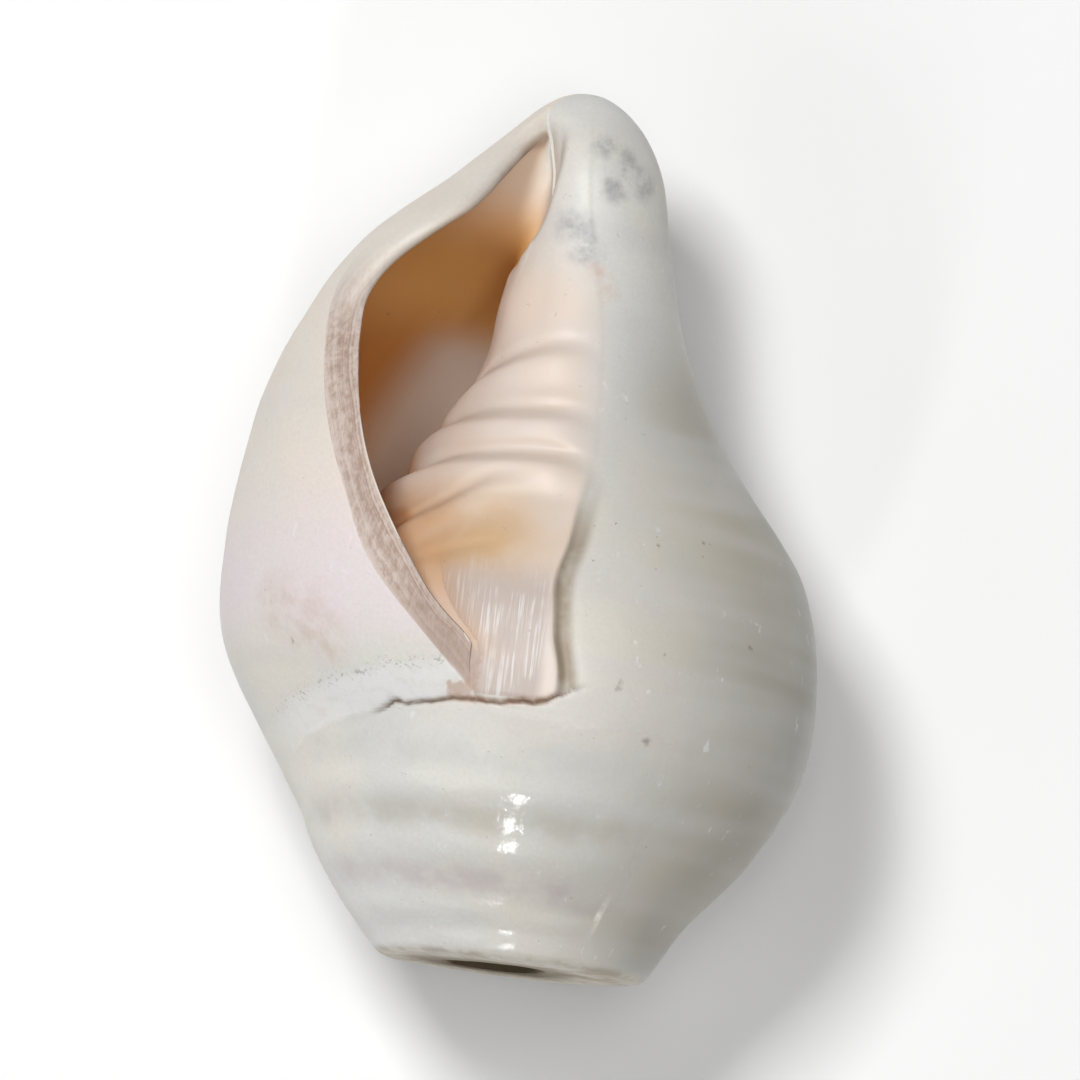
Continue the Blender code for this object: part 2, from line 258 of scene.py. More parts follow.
# %% Suture and rows
def suture_height(turn):
    """Height where the youngest whorl meets the one before it."""
    height = np.linspace(5, 60, 551)
    ahead = whorl(turn, height) > whorl(turn + 360, height)
    return height[len(ahead) - 1 - np.argmin(ahead[::-1])]


SUTURE_TURNS = [15, 30, 48, 70, 90, 120, 150, 180, 205]
SUTURE = [suture_height(turn) for turn in SUTURE_TURNS]
suture = spline(SUTURE_TURNS, SUTURE)
drop = spline(SUTURE_TURNS + [240, 275, 310, 350, 375],
              [height - MOUTH_START for height in SUTURE] + [-15.0, -5.0, 0.0, 1.0, SUTURE[0] - MOUTH_START])


def row_height(level, turn):
    """Height of a row at a turn: the suture row dips most, the rows away from it less."""
    share = np.where(level < MOUTH_START, level / MOUTH_START, (2 * MOUTH_START - level) / MOUTH_START)
    return level + drop(turn) * np.clip(share, 0, 1)


def spread(start, stop, count, weight):
    """Steps from start to stop that are closest together where the weight is largest."""
    even = np.linspace(start, stop, 2000)
    dense = weight(even)
    total = np.concatenate([[0], np.cumsum((dense[1:] + dense[:-1]) / 2)])
    return np.interp(np.linspace(0, total[-1], count + 1), total, even)


LOWER_ROWS = 60
MOUTH_ROWS = 168
TIP_ROWS = 14
COLUMNS = 250
EDGE_COLUMN = 0.915
lower = spread(BASE, MOUTH_START, LOWER_ROWS,
               lambda a: 1 + 3 * bump(a, BASE, 1.6) + 2.4 * bump(a, MOUTH_START, 4))
mouth = spread(MOUTH_START, MOUTH_END, MOUTH_ROWS,
               lambda a: 1 + 1.6 * bump(a, MOUTH_START, 4) + bump(a, 84, 17) + 0.6 * bump(a, MOUTH_END, 4))
dome_height = TIP - DOME_START
tip_angles = np.linspace(math.asin((MOUTH_END - DOME_START) / dome_height), math.pi / 2, TIP_ROWS + 1)
tip = DOME_START + dome_height * np.sin(tip_angles)
levels = np.concatenate([lower[:-1], mouth, tip[1:]])
across = spread(0, 1, COLUMNS,
                lambda f: 1 + 0.5 * ((f < 0.18) + (f > 0.72)) + 1.6 * bump(f, EDGE_COLUMN, 0.045)
                + 9 * bump(f, 0, 0.004) + 3 * bump(f, 1, 0.006))
print("rows", len(levels), "columns", len(across))
print("suture", [round(float(h), 1) for h in SUTURE])

# %% [markdown]
# ## What the hand can feel on the outside
# The inner lip is a thin glaze laid over the older whorl. Its right edge is a low rounded bead with a groove
# beside it, which the finish darkens with some dirt and painted shade, and below it ends in a crack that runs
# on into the suture. Next to the suture the lip side is chalky and pitted, and the front of the old whorl has
# soft spiral waves. They could be bump maps, but they catch the light and bend the outline of the highlights,
# so they are part of the shape.

# %% Relief of the outside
GLAZE_EDGE = spline([39, 44.5, 47.6, 50.6, 54, 60.4, 63.6, 67, 70.3, 75.1, 80, 90, 112.5, 126],
                    [357.0, 356.9, 357.6, 358.7, 359.2, 360.0, 359.4, 358.0, 357.1, 355.8, 353.5, 351.5,
                     350.7, 352])
WAVES = [(25.2, 0.40, 2.2), (20.4, -0.28, 2.0), (15.4, 0.42, 2.2), (10.6, -0.38, 2.0), (6.0, 0.55, 1.8),
         (3.6, -0.35, 1.2)]


def from_front(turn):
    """The turn counted from the front, from -60 to 300 degrees."""
    return (turn + 60) % 360 - 60


def beside_suture(turn):
    """Share of the band beside the suture on the lip side."""
    return ease((turn - 13) / 4) * (1 - ease((turn - 62) / 22))


def thick_glaze(height):
    """The glaze is thick at the crack and thins out towards the tip."""
    return 1 - ease((height - 74) / 12)


def from_glaze_edge(turn, height, radius):
    """Distance past the right edge of the inner lip's glaze, in millimetres, positive on the glaze."""
    return np.radians(turn - GLAZE_EDGE(height)) * radius


def crack_height(turn):
    """Height of the crack under the glaze, which runs on into the suture."""
    glaze_side = np.interp(turn, [345, 350, 353.8, 355.3, 358.2, 361.7, 367, 373.3, 376],
                           [45.5, 44.4, 43.2, 42.3, 41.2, 40.3, 39.9, 39.5, 39.6])
    lip_side = suture(turn) - 0.9 * (1 - ease((turn - 14) / 12)) + 1.2 * bump(turn, 34, 2.2)
    jagged = 0.16 * np.sin(turn * 0.71) + 0.07 * np.sin(turn * 1.9 + 1) + 0.03 * np.sin(turn * 4.3)
    return np.where(turn > 300, glaze_side, lip_side) + jagged


def glaze(turn, height, radius):
    """Rise of the inner lip's glaze over the whorl under it."""
    side = from_glaze_edge(turn, height, radius)
    reach = ease((height - crack_height(np.maximum(turn, 345)) + 0.1) / 1.0)
    strong = thick_glaze(height)
    pad = 0.40 * ease((side + 0.4) / 1.0) * (0.3 + 0.7 * strong)
    bead = 0.14 * bump(side, 1.1, 1.0) * strong
    groove = (-0.48 * bump(side, -0.9, 0.8) - 0.22 * bump(side, -2.2, 1.1)) * (1 - ease((height - 62) / 16))
    far = 1 - ease((turn - 392) / 40)
    return (pad + bead + groove) * reach * far * ease((turn - 335) / 10)


def relief(turn, height, radius):
    """All that rises or sinks on the outside, in millimetres."""
    front = from_front(turn)
    off = height - crack_height(turn)
    rise = glaze(turn, height, radius)
    lip_band = beside_suture(turn)
    crack = np.where(turn > 300, ease((turn - 350) / 5), 1 - ease((turn - 36) / 8))
    rise = rise - 0.6 * bump(off, 0, 0.35) * crack
    chalk = lip_band * ease(off / 0.8) * (1 - ease((off - 5.2) / 0.9))
    rise = rise - 0.12 * chalk + 0.10 * bump(off, 6.4, 0.8) * lip_band
    waves = sum(tall * bump(height, at, half) for at, tall, half in WAVES)
    on_front = ease((front + 42) / 40) * (1 - ease((front - 52) / 40))
    return rise + waves * on_front * (1 - ease((height - 30) / 4))


print("glaze edge at 60 mm:", round(float(GLAZE_EDGE(60)), 1), "degrees")


# %% Radius of the outside
def outer_radius(turn, height, start):
    """Radius of the outside, the larger of the whorls there, healed shut past the end of the mouth."""
    young = whorl(turn, height)
    older = whorl(turn + 360, height) + folds(turn + 360, height)
    width = SUTURE_BLEND + 3.4 * ease((turn - 36) / 30) * (turn < 330)
    radius = softer_max(young + folds(turn, height), older, width)
    radius = softer_max(radius, whorl(turn + 720, height), SUTURE_BLEND)
    closing = ease((height - MOUTH_END + 4) / 4) * ease((turn - start - 290) / 65)
    lip_side = whorl(np.clip(turn - 360, 0, 360), height)
    radius = radius + (lip_side - radius) * closing
    radius = radius + relief(turn, height, radius) * (1 - closing)
    return radius * dome(height)


starts = np.array([float(lip_outer(level)) for level in levels])
for _ in range(6):
    starts = lip_outer(row_height(levels, starts))
stops = lip_inner(levels) + 360
turns = starts[:, None] + (stops - starts)[:, None] * across[None, :]
to_edge = GLAZE_EDGE(levels) - (starts + (stops - starts) * EDGE_COLUMN)
to_edge = to_edge * ease((levels - 34) / 6) * (1 - ease((levels - 66) / 18))
near_edge = np.clip(1 - ((across - EDGE_COLUMN) / 0.085) ** 2, 0, 1) ** 2
turns = turns + to_edge[:, None] * near_edge[None, :]
heights = np.stack([row_height(np.full(len(across), level), turn) for level, turn in zip(levels, turns)])
radii = outer_radius(turns, heights, starts[:, None])
edge_round = np.clip((BASE + BASE_EDGE - heights) / BASE_EDGE, 0, 1)
radii = radii - BASE_EDGE * (1 - np.sqrt(1 - edge_round ** 2))
outside = place(turns, heights, radii)
first, last = LOWER_ROWS, LOWER_ROWS + MOUTH_ROWS
fade_in = ease((across - 0.9) / 0.1)
for j in range(len(levels)):
    if not first < j < last:
        outside[j] += (outside[j, 0] - outside[j, -1]) * fade_in[:, None]
        outside[j, -1] = outside[j, 0]
print("outside", outside.shape, "widest", round(float(np.ptp(outside[..., 0])), 2), "mm")

# %% [markdown]
# ## Behind the mouth
# The sheet is slit along the mouth. From the slit the wall turns over the ground lip, runs inward between the
# outer wall and the pillar, and winds on through the older whorls to the hole that was sawn at the spire.
# Each ring of this passage has as many points as the slit, so the two sheets can be sewn point to point.

# %% Rings of the passage
WAY_IN = [0, 25, 60, 100, 150, 240, 330, 440]
LAST_WAY = 430
PIPE_WAY = 440
HOLLOW_LOW = [48.5, 42.6, 35.0, 29.0, 24.5, 20.0, 18.0, 17.0]
HOLLOW_HIGH = [138.5, 133.5, 125.0, 116.5, 107.0, 89.0, 64.0, 30.0]
hollow_low = spline(WAY_IN, HOLLOW_LOW)
hollow_high = spline(WAY_IN, HOLLOW_HIGH)
rows_share = (mouth - MOUTH_START) / (MOUTH_END - MOUTH_START)


def hollow_ring(way):
    """One ring of the hollow: up its outer wall and back down its inner wall, with the turn of each point."""
    low_end, high_end = float(hollow_low(way)), float(hollow_high(way))
    height = low_end + rows_share * (high_end - low_end)
    start = lip_inner(height)
    turn = start + (41.0 - start) * ease(way / 110) + way
    wall = LIP_WALL + (INNER_WALL - LIP_WALL) * ease(way / 360)
    outer_wall = whorl(turn, height) * dome(height) - wall
    deeper = turn + 360 + 4 * (1 - ease(way / 30))
    pillar = whorl(deeper, height) + folds(deeper, height)
    pillar = (pillar + glaze(deeper, height, pillar) * (1 - ease(way / 40))) * dome(height)
    pillar = np.maximum(pillar, outer_wall - 45 + 37 * ease((way - 240) / 180))
    middle = (outer_wall + pillar) / 2 * (1 - 0.2 * ease((way - 290) / 140))
    half = np.maximum((outer_wall - pillar) / 2, 0.8)
    power = 5.0 - 2.2 * ease(way / 90)
    open_share = (1 - np.abs(2 * rows_share - 1) ** power) ** (1 / power)
    up = place(turn, height, middle + half * open_share)
    down = place(deeper, height, middle - half * open_share)
    points = np.concatenate([up, down[-2:0:-1]])
    return points, np.concatenate([height, height[-2:0:-1]]), np.concatenate([turn, deeper[-2:0:-1]])


slit = np.concatenate([outside[first:last + 1, 0], outside[first + 1:last, -1][::-1]])
slit_turn = np.concatenate([turns[first:last + 1, 0], turns[first + 1:last, -1][::-1]])
slit_height = np.concatenate([heights[first:last + 1, 0], heights[first + 1:last, -1][::-1]])
mouth_ring, mouth_height, mouth_turn = hollow_ring(0)
lip_side = np.arange(len(slit)) <= MOUTH_ROWS
lip_width = float(np.linalg.norm(slit - mouth_ring, axis=1)[60])
print("slit points", len(slit), "lip width", round(lip_width, 1), "mm")

# %% Ground lip and passage
RIM_STEPS = [0.025, 0.07, 0.15, 0.27, 0.4, 0.53, 0.66, 0.78, 0.88, 0.95, 1.0]
INWARD = np.concatenate([[0.3, 0.9, 1.8, 3.0, 4.6, 6.6],
                         spread(9, 120, 30, lambda w: 1 + 1.5 * bump(w, 0, 50)),
                         np.linspace(130, LAST_WAY, 24)])
no_rim = np.zeros(len(slit))
rings = [slit]
ring_way, ring_rim, ring_height = [no_rim], [no_rim], [slit_height]
rounded = (ease((slit_height - 97) / 12) * (1 - ease((slit_height - 135) / 7)) * lip_side)[:, None]


def along_pillar(turn, height):
    """Points on the pillar, with its folds and glaze."""
    pillar = whorl(turn, height) + folds(turn, height)
    return place(turn, height, (pillar + glaze(turn, height, pillar)) * dome(height))


def roll_over(s):
    """The rounded lip near the canal: on along the outside, then half round the thickness of the wall."""
    height = slit_height + (mouth_height - slit_height) * s
    half_wall = LIP_WALL / 2
    edge_turn = mouth_turn + np.degrees(half_wall / np.maximum(whorl(mouth_turn, height), 8))
    flat = min(s / 0.35, 1)
    half_round = math.pi * max(s - 0.35, 0) / 0.65
    turn = slit_turn + (edge_turn - slit_turn) * flat - (edge_turn - mouth_turn) * math.sin(half_round)
    radius = whorl(turn, height) - half_wall * (1 - math.cos(half_round))
    points = place(turn, height, radius * dome(height))
    end = place(edge_turn, mouth_height, (whorl(edge_turn, mouth_height) - LIP_WALL) * dome(mouth_height))
    return points + (mouth_ring - end) * ease((s - 0.3) / 0.7)


slit_gap = slit - along_pillar(slit_turn, slit_height)
mouth_gap = mouth_ring - along_pillar(mouth_turn, mouth_height)
for s in RIM_STEPS:
    straight = slit + (mouth_ring - slit) * s
    turn = slit_turn + (mouth_turn - slit_turn) * s
    height = slit_height + (mouth_height - slit_height) * s
    straight = straight + (roll_over(s) - straight) * rounded
    on_pillar = along_pillar(turn, height) + slit_gap * (1 - ease(s)) + mouth_gap * ease(s)
    rings.append(np.where(lip_side[:, None], straight, on_pillar))
    ring_way.append(no_rim)
    ring_rim.append(np.where(lip_side, s, 0.0))
    ring_height.append(height)
for way in INWARD:
    ring, height, turn = hollow_ring(float(way))
    rings.append(ring)
    ring_way.append(np.full(len(slit), float(way)))
    ring_rim.append(no_rim)
    ring_height.append(height)
print("rings", len(rings))


# %% Way out through the sawn spire
def pipe_rings(start_ring, turn, steps):
    """Rings that lead the last ring of the hollow down to the round hole."""
    angle = math.radians(turn)
    out = np.array([-math.sin(angle), 0, math.cos(angle)])
    up = np.array([0, 1.0, 0])
    heading = Vector((-math.cos(angle), 0, -math.sin(angle)))
    centre = start_ring.mean(0)
    goal = np.array([HOLE_CENTRE[0], BASE, HOLE_CENTRE[1]])
    lead = np.array(heading)
    guides = [centre, centre + lead * 12.0, goal + up * 13.0 + lead * 7.0, goal]
    around = np.linspace(-math.pi / 2, 3 * math.pi / 2, len(start_ring), endpoint=False)
    flat = np.stack([(start_ring - centre) @ out, (start_ring - centre) @ up], -1)
    made = []
    for step in steps:
        rest = 1 - step
        path = (rest ** 3 * guides[0] + 3 * rest ** 2 * step * guides[1]
                + 3 * rest * step ** 2 * guides[2] + step ** 3 * guides[3])
        slope = (rest ** 2 * (guides[1] - guides[0]) + 2 * rest * step * (guides[2] - guides[1])
                 + step ** 2 * (guides[3] - guides[2]))
        following = Vector(slope).normalized()
        swing = np.array(heading.rotation_difference(following).to_matrix())
        out, up, heading = swing @ out, swing @ up, following
        mix = float(ease(step / 0.25))
        radius = PIPE_RADIUS + (HOLE_RADIUS - PIPE_RADIUS) * float(ease((step - 0.4) / 0.6))
        sideways = flat[:, 0] * (1 - mix) + radius * np.cos(around) * mix
        lengthways = flat[:, 1] * (1 - mix) + radius * np.sin(around) * mix
        made.append(path + sideways[:, None] * out + lengthways[:, None] * up)
    for left, ring in enumerate(reversed(made)):
        ring[:, 1] = np.maximum(ring[:, 1], BASE + 0.4 * left)
    made[-1][:, 1] = BASE
    return made


def closed(rows):
    """Rows with the first value repeated at the end, as the sheet's last column needs."""
    return np.stack([np.concatenate([row, row[:1]]) for row in rows])


last_ring, _, last_turns = hollow_ring(float(LAST_WAY))
pipe_turn = float(last_turns[:MOUTH_ROWS + 1].mean())
for ring in pipe_rings(last_ring, pipe_turn, np.linspace(0.09, 1.0, 11)):
    rings.append(ring)
    ring_way.append(np.full(len(slit), float(PIPE_WAY)))
    ring_rim.append(no_rim)
    ring_height.append(ring[:, 1])
rings = closed(rings)
print("passage", rings.shape, "from the lip to the blow hole")

# %% [markdown]
# ## Sheets into a shell
# Each sheet starts as Blender's own grid, one vertex for each row and column, and its vertices are then moved
# to their places. Joining the two, merging what coincides, and bridging the open loop at the hole gives one
# closed body, which is what a thick natural shell is.


# %% Make a sheet from a grid
MARKS = ["lining", "glazed", "ground", "layer", "scraped", "chalk", "dirt", "groove", "deep", "glossy", "blush",
         "sawn", "painted_side_shade", "ochre", "lip_shade", "inward", "brown_line", "chalk_edge", "height"]
MERGE_DISTANCE = 0.000002


def deselect():
    bpy.ops.object.select_all(action="DESELECT")


def sheet_from_grid(name, points, marks):
    """A grid with one vertex per point; marks become attributes for the finish, 0 where none is given."""
    deselect()
    rows, columns = points.shape[:2]
    bpy.ops.mesh.primitive_grid_add(x_subdivisions=columns - 1, y_subdivisions=rows - 1, size=1)
    sheet = bpy.context.object
    sheet.name = name
    flat = np.empty(len(sheet.data.vertices) * 3)
    sheet.data.vertices.foreach_get("co", flat)
    flat = flat.reshape(-1, 3)
    i = np.rint((flat[:, 0] + 0.5) * (columns - 1)).astype(int)
    j = np.rint((flat[:, 1] + 0.5) * (rows - 1)).astype(int)
    sheet.data.vertices.foreach_set("co", (points[j, i] * MM).ravel())
    for mark in MARKS:
        layer = sheet.data.attributes.new(mark, "FLOAT", "POINT")
        if mark in marks:
            layer.data.foreach_set("value", np.ascontiguousarray(marks[mark][j, i], dtype=np.float32))
    while sheet.data.uv_layers:
        sheet.data.uv_layers.remove(sheet.data.uv_layers[0])
    sheet.data.update()
    print(name, len(sheet.data.vertices), "vertices")
    return sheet


# %% [markdown]
# ## Marks for the finish
# A finish that follows the growth needs to know where on the shell it is. Each sheet carries its height in
# millimetres and soft masks, from 0 to 1, worked out from height and turn: the lining of the mouth, the glaze
# of the inner lip, the ground lip, the chalky band, the right side that gets painted shade, the dirt in the
# crack and the dirt and painted shade in the groove.

# %% Masks of the outside
side = from_glaze_edge(turns, heights, radii)
off = heights - crack_height(turns)
front = from_front(turns)
in_mouth_rows = np.zeros(turns.shape)
in_mouth_rows[first:last + 1] = 1
lip_band = beside_suture(turns)
thin = 1 - thick_glaze(heights)
above_crack = ease((heights - crack_height(np.maximum(turns, 345)) + 0.3) / 1.0)
late = ease((turns - 335) / 10)
old_side = turns > 300
outside_marks = {
    "glazed": late * above_crack * ease((side + 0.3 + 3 * thin) / (1.2 + 8 * thin))
    * (1 - ease((heights - 108) / 16)) * in_mouth_rows,
    "ground": ease((turns - 373) / 3) * (1 - ease((heights - 46) / 5)) * above_crack,
    "scraped": late * above_crack * ease((turns - 359.5) / 3) * (1 - ease((heights - 58) / 8)),
    "chalk": lip_band * ease(off / 0.8) * (1 - ease((off - 5.4) / 1.0)),
    "dirt": bump(off, 0, 0.36) * np.where(old_side, ease((turns - 350) / 6), 1 - ease((turns - 35) / 8)),
    "groove": late * above_crack * (1 - ease((heights - 64) / 18)) * ease((side + 3.7) / 2.0)
    * (1 - ease((side - 0.1) / 0.7)),
    "glossy": (1 - ease((heights - 36) / 4)) * ease((front + 50) / 30) * (1 - ease((front - 60) / 30)),
    "blush": (1 - ease((turns - 70) / 60)) * ease((heights - 44) / 8),
    "sawn": 1 - ease((heights - BASE) / 1.3),
    # the right side, darkened in the finish as painted shade
    "painted_side_shade": bump((turns + 64 + 180) % 360 - 180, 0, 42) * ease((heights + 4) / 10)
    * (1 - ease((heights - 92) / 20)),
    # ochre by the lip edge, partly painted shade where the glaze dips behind the lip
    "ochre": 0.6 * (1 - ease(np.radians(stops[:, None] - turns) * radii / 6.5)) * ease((heights - 45) / 5)
    * (1 - ease((heights - 70) / 8)) * late,
    "inward": ease((turns - 357) / 24),
    "brown_line": bump(off, 0.1, 0.6) * np.where(old_side, ease((turns - 355) / 6), 1 - ease((turns - 19) / 5)),
    "chalk_edge": lip_band * bump(off, 6.0, 0.8),
    "height": heights,
}
print("glazed part", round(float(outside_marks["glazed"].mean()), 3))

# %% Masks of the passage
way, rim, ring_heights = closed(ring_way), closed(ring_rim), closed(ring_height)
on_lip = closed([lip_side]) * np.ones((len(rings), 1))
is_rim = (np.arange(len(rings)) <= len(RIM_STEPS))[:, None] * on_lip
off_lip = 1 - on_lip
passage_marks = {
    "lining": np.where(on_lip > 0, ease(way / 2.0), ease((way - 8) / 60)),
    "glazed": off_lip * (1 - ease((way - 20) / 60)) * (1 - ease((ring_heights - 108) / 16)),
    "ground": is_rim * ease(rim / 0.04) * (1 - ease((ring_heights - 96) / 22))
    + off_lip * (1 - ease((ring_heights - 46) / 4)) * (1 - ease(way / 20)),
    "layer": rim * is_rim,
    "deep": ease((way - 78) / 20) * (1 - ease((ring_heights - 103) / 9)),
    "blush": is_rim * 0.8,
    "sawn": ease((way - 435) / 4),
    # ochre growing into the mouth, partly painted shade behind the lip
    "ochre": off_lip * (0.6 + 0.4 * ease((way - 3) / 14)) * ease((ring_heights - 45) / 5)
    * (1 - ease((ring_heights - 70) / 8)),
    "inward": np.ones(way.shape),
    "lip_shade": on_lip * (1 - ease(way / 16)) * ease((ring_heights - 112) / 10)
    * ease((rim + (way > 0) - 0.5) / 0.4),
    "height": ring_heights,
}
outside_sheet = sheet_from_grid("outside", outside, outside_marks)
passage_sheet = sheet_from_grid("passage", rings, passage_marks)

# %% Sew the sheets together
deselect()
passage_sheet.select_set(True)
outside_sheet.select_set(True)
bpy.context.view_layer.objects.active = outside_sheet
bpy.ops.object.join()
conch = bpy.context.object
conch.name = "polished_conch"
bpy.ops.object.mode_set(mode="EDIT")
bpy.ops.mesh.select_mode(type="VERT")
bpy.ops.mesh.select_all(action="SELECT")
bpy.ops.mesh.remove_doubles(threshold=MERGE_DISTANCE)
bpy.ops.mesh.select_all(action="DESELECT")
bpy.ops.mesh.select_non_manifold(extend=False, use_wire=False, use_boundary=True, use_multi_face=False,
                                 use_non_contiguous=False, use_verts=False)
bpy.ops.object.mode_set(mode="OBJECT")
print("open edges", sum(edge.select for edge in conch.data.edges))

# %% Close the sawn face
bpy.ops.object.mode_set(mode="EDIT")
bpy.ops.mesh.select_mode(type="EDGE")
bpy.ops.mesh.bridge_edge_loops()
bpy.ops.mesh.select_all(action="SELECT")
bpy.ops.mesh.normals_make_consistent(inside=False)
bpy.ops.mesh.select_all(action="DESELECT")
bpy.ops.mesh.select_non_manifold(extend=False)
bpy.ops.object.mode_set(mode="OBJECT")
print("faces", len(conch.data.polygons), "open edges", sum(edge.select for edge in conch.data.edges))

# %% [markdown]
# ## Lime in the corners
# Where the lip meets the pillar, at the crack and at the end of the canal, the snail has filled the corner
# with lime. A Smooth modifier that works only on a soft vertex group round each corner does the same.


# %% Filled corners
def fill_corner(piece, name, turn, height, reach, passes):
    """Smooth the surface within a reach, in millimetres, of a point on the lip."""
    centre = place(turn, height, whorl(turn, height) * dome(height)) * MM
    flat = np.empty(len(piece.data.vertices) * 3)
    piece.data.vertices.foreach_get("co", flat)
    share = 1 - ease(np.linalg.norm(flat.reshape(-1, 3) - centre, axis=1) / (reach * MM))
    group = piece.vertex_groups.new(name=name)
    for i in np.flatnonzero(share > 0.01):
        group.add([int(i)], float(share[i]), "REPLACE")
    smooth = piece.modifiers.new(name, "SMOOTH")
    smooth.factor = 0.5
    smooth.iterations = passes
    smooth.vertex_group = name
    deselect()
    piece.select_set(True)
    bpy.context.view_layer.objects.active = piece
    bpy.ops.object.modifier_apply(modifier=name)
    print(name, "moved over", int((share > 0.01).sum()), "vertices")


fill_corner(conch, "corner_at_the_crack", 16, 44.5, 7.0, 40)
fill_corner(conch, "end_of_the_canal", 47, 141.5, 8.0, 60)

# %% [markdown]
# ## Natural unevenness
# Nothing that grew is perfectly fair. Two passes of the Displace modifier with a soft cloud texture move the
# surface by a few tenths of a millimetre: a slow one that bends the highlights, and a finer one like the
# faint dents left by hand polishing.


# %% Uneven growth
def uneven(piece, name, size, strength):
    clouds = bpy.data.textures.new(name, "CLOUDS")
    clouds.noise_scale = size * MM
    clouds.noise_depth = 1
    soft = piece.modifiers.new(name, "DISPLACE")
    soft.texture = clouds
    soft.texture_coords = "LOCAL"
    soft.strength = strength * MM
    soft.mid_level = 0.5
    deselect()
    piece.select_set(True)
    bpy.context.view_layer.objects.active = piece
    bpy.ops.object.modifier_apply(modifier=name)
    print(name, strength, "mm")


uneven(conch, "slow_swell", 26, 0.6)
uneven(conch, "polishing_dents", 7, 0.2)

# %% [markdown]
# ## Settle it on the ground
# The shell rests on a small worn flat on its back. Its lowest half millimetre is pressed level, and then the
# whole mesh is fitted to the solid's box, so that the dressed shell is exactly as large as the solid.

# %% Rest and fit
count = len(conch.data.vertices)
points = np.empty(count * 3)
conch.data.vertices.foreach_get("co", points)
points = points.reshape(-1, 3)
points[:, 2] = np.maximum(points[:, 2], points[:, 2].min() + REST_CUT * MM)
mesh_low = points.min(0)
size = points.max(0) - mesh_low
fit = (np.array(high) - np.array(low)) / size
points = (points - mesh_low) * fit + np.array(low)
conch.data.vertices.foreach_set("co", points.ravel())
conch.data.update()
conch.data.shade_smooth()
print("scaled by", [round(float(c), 4) for c in fit])
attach(conch, "root")
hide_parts("shell")


# %% [markdown]
# ## The finish
# A polished conch is porcelain-like: lime with a thin clear gloss. Its colours are soft stains in the lime,
# so they are mixed by masks and cloudy noise, never drawn with hard edges. The finish is built step by step
# on one colour, and the roughness and the fine relief follow the same masks.

# %% Helpers for the finish
finish = bpy.data.materials.new("polished_shell")
finish.use_nodes = True
tree = finish.node_tree
surface = tree.nodes["Principled BSDF"]


def put(kind, settings=None, **inputs):
    """A node with its settings and inputs; an input is a number, a colour or another node's socket."""
    made = tree.nodes.new(kind)
    for key, value in (settings or {}).items():
        setattr(made, key, value)
    for key, value in inputs.items():
        socket = made.inputs[int(key[1:])] if key[0] == "i" and key[1:].isdigit() else made.inputs[key]
        if isinstance(value, bpy.types.NodeSocket):
            tree.links.new(value, socket)
        else:
            socket.default_value = value
    return made


def paint(red, green, blue):
    """A colour given as it looks on a screen, 0 to 255, turned into light values."""
    def linear(c):
        c = c / 255
        return c / 12.92 if c < 0.04045 else ((c + 0.055) / 1.055) ** 2.4
    return (linear(red), linear(green), linear(blue), 1)


def mask(name):
    """A mark that the sheets carry."""
    return put("ShaderNodeAttribute", {"attribute_name": name}).outputs["Fac"]


def calc(operation, a, b=0.0, clamp=False):
    """One sum on two values."""
    return put("ShaderNodeMath", {"operation": operation, "use_clamp": clamp}, i0=a, i1=b).outputs[0]


def times(*shares):
    """The product of several masks."""
    total = shares[0]
    for share in shares[1:]:
        total = calc("MULTIPLY", total, share)
    return total


def blend(factor, under, over):
    """One colour laid over another by a share from 0 to 1."""
    made = put("ShaderNodeMix", {"data_type": "RGBA", "blend_type": "MIX", "clamp_factor": True})
    for place_in, value in ((0, factor), (6, under), (7, over)):
        if isinstance(value, bpy.types.NodeSocket):
            tree.links.new(value, made.inputs[place_in])
        else:
            made.inputs[place_in].default_value = value
    return made.outputs[2]


def curve(value, from_low, from_high, to_low=0.0, to_high=1.0):
    """A soft step between two values."""
    made = put("ShaderNodeMapRange", {"interpolation_type": "SMOOTHSTEP", "clamp": True},
               i0=value, i1=from_low, i2=from_high, i3=to_low, i4=to_high)
    return made.outputs[0]


where = put("ShaderNodeTexCoord").outputs["Object"]


def cloud(scale, detail=3.0, roughness=0.55, stretch=(1, 1, 1), warp=0.0):
    """Cloudy noise fixed to the shell; a stretch below 1 draws it out along that axis."""
    mapped = put("ShaderNodeMapping", None, Vector=where)
    mapped.inputs["Scale"].default_value = stretch
    return put("ShaderNodeTexNoise", None, Vector=mapped.outputs[0], Scale=scale, Detail=detail,
               Roughness=roughness, Distortion=warp).outputs["Fac"]


print("finish started")

# %% [markdown]
# ### White lime and its warm patches
# Held in the hand the outside is white only at first sight. There are cool and cream clouds a few
# centimetres across, faint spiral bands that follow the growth, and a blush of pink on the lip side. The
# right side is darkened with painted shade.

# %% Outside colour
patches = cloud(38, 2.0, 0.5, warp=0.4)
colour = blend(curve(patches, 0.35, 0.65), paint(216, 216, 213), paint(222, 218, 208))
# Painted shade: the right side of the outside is darkened in its colour.
colour = blend(times(mask("painted_side_shade"), 0.9), colour, paint(168, 163, 148))
spiral = cloud(60, 2.0, 0.6, stretch=(0.15, 1.6, 0.15))
colour = blend(curve(spiral, 0.45, 0.7, 0.0, 0.5), colour, paint(206, 203, 201))
rosy = cloud(45, 2.0, 0.6)
height = mask("height")
blush = blend(curve(height, 58.0, 84.0), paint(228, 217, 219), paint(232, 220, 206))
colour = blend(times(mask("blush"), curve(rosy, 0.3, 0.7, 0.45, 0.95)), colour, blush)
print("outside colour mixed")

